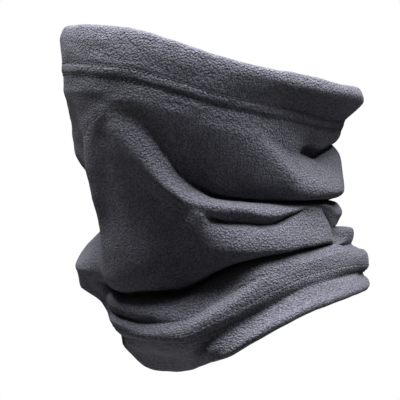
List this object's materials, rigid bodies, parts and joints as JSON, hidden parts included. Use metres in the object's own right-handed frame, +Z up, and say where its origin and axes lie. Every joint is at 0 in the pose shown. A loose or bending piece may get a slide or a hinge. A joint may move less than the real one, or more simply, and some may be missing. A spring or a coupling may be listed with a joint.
{
  "type": "neck gaiter",
  "caption": "Fleece neck gaiter: a soft tube gathered in folds round the neck and lower face, hemmed with twin rows of stitches at both ends.",
  "frame": {"origin": "on the axis of the wearer's neck, level with the lowest point of the bottom hem", "axes": "+Z up along the neck, -Y towards the front, where the face is, +X towards the wearer's left"},
  "size_m": [0.1897, 0.2029, 0.2122],
  "materials": {
    "fleece": "matte brushed pile, dark slate grey",
    "hem_thread": "spun polyester thread, near black",
    "looper_thread": "textured polyester thread, dark grey",
    "label_satin": "woven satin tape, off-white, blank"
  },
  "bodies": {
    "root": {"fleece_panel": "fleece", "top_needle_thread_upper": "hem_thread", "top_needle_thread_lower": "hem_thread", "top_looper_thread": "looper_thread", "bottom_needle_thread_upper": "hem_thread", "bottom_needle_thread_lower": "hem_thread", "bottom_looper_thread": "looper_thread", "back_seam_needle_thread": "hem_thread", "back_seam_upper_looper": "looper_thread", "back_seam_lower_looper": "looper_thread", "care_label": "label_satin"}
  },
  "joints": []
}
